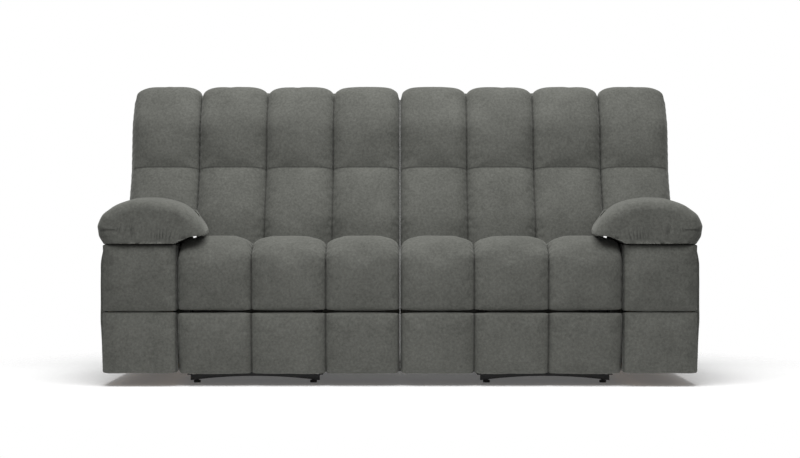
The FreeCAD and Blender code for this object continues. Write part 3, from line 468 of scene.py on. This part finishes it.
CENTRE_EDGE = 0.0045
MEETING = 0.0042
UNIT_EDGE = 0.745
unit_seams = (CENTRE_EDGE, 0.250, 0.500, UNIT_EDGE)
seat_low, seat_top, seat_deep = 0.2555, 0.503, 0.515
seat_front = front_plane
seat_back = seat_front + seat_deep
seat_under = 0.3474
seat_corners = [
    (seat_front + 0.009, seat_low, 0.014, 0.75),
    (seat_front + 0.050, seat_low, 0, True),
    (seat_front + 0.050, seat_under, 0, True),
    (seat_back - 0.018, seat_under, 0, True),
    (seat_back, seat_top - 0.034, 0.02, False),
    ((seat_front + seat_back) / 2, seat_top - 0.015, 0.300, False),
    (seat_front + 0.078, seat_top - 0.006, 0.060, False),
    (seat_front + 0.004, seat_top - 0.052, 0.046, False),
    (seat_front, (seat_low + seat_top) / 2 - 0.010, 0.420, False),
]


def seams_across(seams):
    """Crease rule for a cover whose seams are planes square to X."""
    def crease(point):
        away = min(abs(point.x - seam) for seam in seams)
        return away, point.y + point.z
    return crease


seat = sewn_cover("seat_cover_right", channel_stations(unit_seams), lambda x: seat_corners,
                  0.024, level, MEETING)
swell(seat)
worked_over(seat, seams_across(unit_seams))
pair(seat, "seat", "seat_cushion")

# Footrest pads: a foam slab on a board, in the same cover and channels as the seat, hung
# below it at a small tilt.
footrest_toe = Vector((0, -0.3586, 0.1683))
footrest_tilt = math.radians(10)


def footrest_place(x, across, up):
    """A point of the footrest, which stands tilted about its bracket's pivot."""
    cosine, sine = math.cos(footrest_tilt), math.sin(footrest_tilt)
    return Vector((x, footrest_toe.y + across * cosine - up * sine,
                   footrest_toe.z + across * sine + up * cosine))


def front_pad(face, rear, low, high):
    """Outline of a puffed front pad, square to X: firm at the rear, crowned in front."""
    return [
        (face + 0.010, low, 0.012, 0.75),
        (rear, low, 0, True),
        (rear, high, 0, 0.75),
        (face + 0.010, high, 0.012, False),
        (face + 0.001, (low + high) / 2, 0.420, False),
    ]


pad_face, pad_rear, pad_low, pad_high = -0.0803, -0.0323, -0.1190, 0.0905
footrest_corners = front_pad(pad_face, pad_rear, pad_low, pad_high)
footrest = sewn_cover("footrest_cover_right", channel_stations(unit_seams),
                      lambda x: footrest_corners, 0.022, footrest_place, MEETING)
swell(footrest, most=0.008)
worked_over(footrest, seams_across(unit_seams))
pair(footrest, "footrest", "footrest_pad")

# Back cushions: four sewn channels in two rows, filled with blown fibre, so that each
# block stands out and the upper row hangs a little over the lower. The fourth channel
# is the ear that reaches over the arm, and its foot is higher to clear the arm.
ARM_EDGE = 1.0
back_foot = Vector((0, 0.0605, 0.400))
back_lean = math.radians(17.1)
row_line = 0.387
back_high = 0.730
back_seams = (CENTRE_EDGE, 0.250, 0.500, 0.7495)


def back_place(x, across, up):
    """A point of the back: across runs to its rear and up runs along its slope."""
    return Vector((x, back_foot.y + across * math.cos(back_lean) + up * math.sin(back_lean),
                   back_foot.z - across * math.sin(back_lean) + up * math.cos(back_lean)))


def back_outline(low_front, low_rear):
    return [
        (0.018, low_front, 0, True),
        (0.095, low_rear, 0, True),
        (0.095, 0.661, 0, True),
        (0.138, 0.661, 0, True),
        (0.138, back_high - 0.012, 0, False),
        (0.078, back_high - 0.003, 0.060, False),
        (0.027, back_high - 0.028, 0.050, False),
        (-0.007, 0.5 * (row_line + back_high), 0.160, False),
        (0.030, row_line, 0, False),
        (-0.007, 0.47 * row_line, 0.160, False),
    ]


def back_crease(seams):
    """Crease rule for the back, where the seam between the rows crosses the others."""
    cosine, sine = math.cos(back_lean), math.sin(back_lean)

    def crease(point):
        away = min(abs(point.x - seam) for seam in seams)
        behind, above = point.y - back_foot.y, point.z - back_foot.z
        across = behind * cosine - above * sine
        up = behind * sine + above * cosine
        if across < 0.07 and abs(up - row_line) < away:
            return abs(up - row_line), point.x
        return away, up
    return crease


back_corners = back_outline(0, 0)
back = sewn_cover("back_cover_right", channel_stations(back_seams, 4.0), lambda x: back_corners,
                  0.038, back_place, MEETING)
swell(back, spare=0.006, most=0.010)
worked_over(back, back_crease(back_seams))
pair(back, "back", "back_cushion")
ear_corners = back_outline(0.133, 0.157)
ear_seams = (0.7505, ARM_EDGE)
ear = sewn_cover("back_ear_right", channel_stations(ear_seams, 4.0), lambda x: ear_corners,
                 0.038, back_place, 0.010)
swell(ear, spare=0.006, most=0.010)
worked_over(ear, back_crease(ear_seams))
pair(ear, "back", "back_cushion")

# Rear of the back: a stretched panel of the same cloth over the frame, in two parts as
# the cushion is, with a gusset up each side.
shell_near, shell_far = 0.1380, 0.2040


def shell_outline(low_near, low_far):
    return [
        (shell_near, low_near, 0, False),
        (shell_far - 0.020, low_far, 0.030, False),
        (shell_far, 0.377, 0.900, False),
        (shell_far - 0.020, back_high - 0.016, 0.034, False),
        (shell_near + 0.014, back_high, 0, False),
        (shell_near, back_high - 0.008, 0, True),
    ]


def panel_stations(low, high, edge=0.06, steps=10):
    """Places and fullness across one stretched panel: tight edges, full middle."""
    stations = []
    for step in range(steps + 1):
        share = step / steps
        out = min(share, 1 - share) * (high - low) / edge
        stations.append((low + share * (high - low), min(1.0, out) ** 0.6))
    return stations


for name, low, high, corners in (
        ("back_panel_right", 0.0004, 0.745, shell_outline(0.031, 0.031)),
        ("back_ear_panel_right", 0.7505, ARM_EDGE, shell_outline(0.168, 0.184))):
    panel = sewn_cover(name, panel_stations(low, high), lambda x: corners, 0.020, back_place)
    swell(panel, pressure=1.5, most=0.004)
    worked_over(panel, seams_across((low, high)))
    pair(panel, "back", "back_outer_panel")
for name, low, high, foot in (("centre_gusset_right", 0.0004, 0.012, 0.043),
                              ("ear_gusset_right", 0.993, ARM_EDGE, 0.160)):
    gusset_corners = [(0.0976, foot, 0, True), (0.138, foot, 0, True),
                      (0.138, 0.659, 0, True), (0.0976, 0.659, 0, True)]
    gusset = sewn_cover(name, [(low, 1.0), (high, 1.0)], lambda x: gusset_corners, 0.0,
                        back_place)
    worked_over(gusset, seams_across((low - 1,)), slack=0.0, pucker=0.0)
    pair(gusset, "back", "back_outer_panel")

# Arm pillows: a soft pillow sewn to a boxed band and stapled over the arm's top board,
# standing over the seat on one side and over the side pad on the other.
pillow_foot = 0.4808
pillow_front, pillow_rear = front_plane + 0.001, 0.0725
pillow_corners = [
    (0.7540, pillow_foot, 0, True),
    (1.0040, pillow_foot, 0.006, False),
    (1.0200, 0.5050, 0.030, False),
    (1.0260, 0.5400, 0.025, False),
    (1.0080, 0.5800, 0.050, False),
    (0.9620, 0.6180, 0.090, False),
    (0.8950, 0.6370, 0.120, False),
    (0.8250, 0.6370, 0.160, False),
    (0.7450, 0.6230, 0.140, False),
    (0.6850, 0.5870, 0.120, False),
    (0.6500, 0.5400, 0.090, False),
    (0.6430, 0.5110, 0.018, True),
    (0.6680, 0.5090, 0, True),
    (0.7050, 0.5035, 0, True),
    (0.7490, 0.4870, 0, True),
]
welt_points = ((0.640, 0.507), (0.730, 0.498), (0.815, 0.511), (0.930, 0.5275), (1.040, 0.5267))
pillow_drawn = 0.036
front_roll = ((0, 0.036), (0.006, 0.023), (0.014, 0.0145), (0.026, 0.0085), (0.044, 0.004),
              (0.075, 0.001))
rear_roll = ((0.060, 0.98), (0.035, 0.9), (0.015, 0.72), (0.005, 0.5), (0, 0.28))
pillow_stations = [(pillow_front + back, 1 - drawn / pillow_drawn) for back, drawn in front_roll]
pillow_stations += [(pillow_front + 0.075 + step * 0.0098, 1.0) for step in range(1, 38)]
pillow_stations += [(pillow_rear - before, full) for before, full in rear_roll]


def pillow_outline(y):
    """The pillow's outline, whose inner side runs out to the arm towards the rear."""
    return [(across + (0.10 * (y - pillow_front) if across < 0.74 else 0), up, radius, firm)
            for across, up, radius, firm in pillow_corners]


def facing(along, across, up):
    """Place for a cover whose outlines are square to Y."""
    return Vector((across, along, up))


def welt_height(x):
    for (left, low), (right, high) in zip(welt_points, welt_points[1:]):
        if x <= right:
            return low + (high - low) * max(0, x - left) / (right - left)
    return welt_points[-1][1]


def pillow_crease(point):
    """Crease rule for the seam between the pillow and its band."""
    if point.z > 0.56:
        return 1.0, point.y
    return abs(point.z - welt_height(point.x)), point.x + point.y


pillow = sewn_cover("pillow_cover_right", pillow_stations, pillow_outline, pillow_drawn, facing)
swell(pillow, pressure=3.0, most=0.008)
worked_over(pillow, pillow_crease, slack=0.003)
pair(pillow, "root", "arm_pillow")

# Arm front pads: two blocks of foam in the same cover, which carry the lines of the seat
# and the footrest across the arm.
arm_seams = (0.752, ARM_EDGE)
arm_pad_rear = -0.3730
for row, low, high in (("upper", 0.2528, 0.4795), ("lower", 0.044, 0.2513)):
    pad_corners = front_pad(front_plane + 0.001, arm_pad_rear, low, high)
    front = sewn_cover(f"arm_{row}_front_cover_right", channel_stations(arm_seams, 6.0),
                       lambda x: pad_corners, 0.018, level, 0.002)
    swell(front, most=0.008)
    worked_over(front, seams_across(arm_seams))
    pair(front, "root", f"arm_{row}_front_pad")

# Outer side pads: thin foam under one stretched cover from the front board to the rear,
# lower behind the pillow, with a cut-out for the release cup.
side_near, side_far, side_foot = 0.9885, 1.0175, 0.0435
arm_high, arm_rear_high = 0.4795, 0.3995
slope_start, slope_end = 0.0815, 0.2015
side_start, side_long, side_steps = -0.3725, 0.734, 60


def side_outline(y):
    """The side pad's outline, whose top slopes down behind the pillow."""
    slope = min(1.0, max(0.0, (y - slope_start) / (slope_end - slope_start)))
    top = arm_high + (arm_rear_high - arm_high) * slope
    return [
        (side_near, side_foot, 0, True),
        (side_far - 0.007, side_foot, 0.006, False),
        (side_far, side_foot + 0.170, 0.300, False),
        (side_far, top - 0.060, 0.150, False),
        (side_far - 0.013, top, 0.006, False),
        (side_near, top, 0, True),
    ]


def unseamed(point):
    """Crease rule for a cover with no seam in sight."""
    return 1.0, 0.0


side_stations = [(side_start + step * side_long / side_steps,
                  min(1.0, min(step, side_steps - step) / 2 + 0.3))
                 for step in range(side_steps + 1)]
side_pad = sewn_cover("arm_side_pad_right", side_stations, side_outline, 0.006, facing)
swell(side_pad, pressure=1.0, most=0.003)
worked_over(side_pad, unseamed)
bpy.ops.mesh.primitive_cube_add(size=1, location=(1.0, -0.0835, 0.375))
cup_room = bpy.context.object
cup_room.scale = (0.08, 0.1104, 0.0904)
bpy.context.view_layer.objects.active = side_pad
cut = side_pad.modifiers.new("Cup room", "BOOLEAN")
cut.operation = "DIFFERENCE"
cut.solver = "EXACT"
cut.object = cup_room
bpy.ops.object.modifier_apply(modifier=cut.name)
bpy.data.objects.remove(cup_room)
pair(side_pad, "root", "arm_outer_pad")

# Inner side pads, rear aprons and the cloth over the rear of each arm: plain stretched
# cover on boards, seen from above and from behind.
inner_corners = [(side_start, 0.105, 0, True), (0.3165, 0.105, 0, True),
                 (0.3165, arm_rear_high, 0, True), (slope_end, arm_rear_high, 0, True),
                 (slope_start, arm_high, 0, True), (side_start, arm_high, 0, True)]
inner = sewn_cover("arm_inner_cover_right", [(0.7504, 1.0), (0.759, 1.0), (0.768, 1.0)],
                   lambda x: inner_corners, 0.0, level)
worked_over(inner, unseamed, slack=0.0)
pair(inner, "root", "arm_inner_pad")
apron_corners = [(0.3217, 0.045, 0, True), (0.3613, 0.045, 0, False),
                 (0.3613, 0.400, 0.018, False), (0.3217, 0.400, 0, True)]
apron_sides = (MIDDLE_ROOM, 0.750)
apron = sewn_cover("apron_cover_right", panel_stations(*apron_sides, 0.03, 40),
                   lambda x: apron_corners, 0.008, level)
worked_over(apron, seams_across(apron_sides))
pair(apron, "root", "rear_apron")
CLOTH_THICK = 0.0025
board_high, board_low, board_rear = 0.4803, 0.4003, 0.3618
deck_line = [(0.0760, board_high), (slope_start, board_high), (slope_end, board_low),
             (board_rear, board_low), (board_rear, 0.046)]
deck_out = [(0.0760, board_high + CLOTH_THICK), (slope_start + 0.001, board_high + CLOTH_THICK),
            (slope_end + 0.001, board_low + CLOTH_THICK),
            (board_rear + CLOTH_THICK, board_low + CLOTH_THICK), (board_rear + CLOTH_THICK, 0.046)]
deck_corners = [(across, up, 0, False) for across, up in deck_line + deck_out[::-1]]
deck = sewn_cover("arm_deck_cloth_right", [(0.7685 + step * 0.0249, 1.0) for step in range(11)],
                  lambda x: deck_corners, 0.0, level)
worked_over(deck, unseamed, slack=0.0)
for item in (deck, twin(deck)):
    upholstered(item, "root")

# Release cup and lever: a moulded cup let into the side pad, with a pull inside it.
moulded = Finish("moulded_black")
texture = moulded.speckle(1100, 2.0)
moulded.feed("Base Color",
             moulded.mixed(texture, (0.010, 0.010, 0.010, 1), (0.020, 0.020, 0.021, 1)))
moulded.feed("Roughness", 0.38 + 0.15 * texture)
moulded.raise_by(texture, 0.0002, 0.5)
coat(moulded, *each_side("release_cup", "release_lever"))

# Studio: a white floor that fades out round the sofa, white all about for the camera,
# and large soft lamps above and in front.
bpy.ops.object.select_all(action="DESELECT")
bpy.ops.mesh.primitive_circle_add(vertices=96, radius=2.6, fill_type="NGON", location=(0, 0, 0))
floor = bpy.context.object
floor.name = "floor"
floor_finish = Finish("white_floor", Roughness=0.9, Specular_IOR_Level=0.1,
                      Emission_Color=(1, 1, 1, 1), Emission_Strength=0.1)
from_middle = floor_finish.node("ShaderNodeVectorMath", 1, {"operation": "LENGTH"},
                                {0: floor_finish.place})
fade = ((1.8 - from_middle) * 1.5).kept_in()
floor_finish.feed("Base Color",
                  floor_finish.mixed(fade, (0.97, 0.97, 0.97, 1), (0.93, 0.93, 0.93, 1)))
floor_finish.feed("Alpha", fade)
floor.data.materials.append(floor_finish.material)
world = bpy.data.worlds.new("studio")
scene.world = world
world.use_nodes = True
world_nodes = world.node_tree.nodes
background = world_nodes["Background"]
sight = world_nodes.new("ShaderNodeLightPath")
strength = world_nodes.new("ShaderNodeMath")
strength.operation = "MULTIPLY_ADD"
ROOM_LIGHT = 0.30
strength.inputs[1].default_value = 1 - ROOM_LIGHT
strength.inputs[2].default_value = ROOM_LIGHT
world.node_tree.links.new(sight.outputs["Is Camera Ray"], strength.inputs[0])
world.node_tree.links.new(strength.outputs[0], background.inputs["Strength"])
background.inputs["Color"].default_value = (1, 1, 1, 1)
for name, place, aim, size, watts in (
        ("top_lamp", (0, -1.0, 3.2), (0, 0.0, 0.4), (3.6, 2.4), 135),
        ("front_lamp", (-0.6, -2.9, 3.2), (0, 0, 0.9), (2.6, 1.6), 37)):
    lamp_data = bpy.data.lights.new(name, "AREA")
    lamp_data.shape = "RECTANGLE"
    lamp_data.size, lamp_data.size_y = size
    lamp_data.energy = watts
    lamp = bpy.data.objects.new(name, lamp_data)
    lamp.location = place
    lamp.rotation_euler = (Vector(aim) - Vector(place)).to_track_quat("-Z", "Y").to_euler()
    scene.collection.objects.link(lamp)
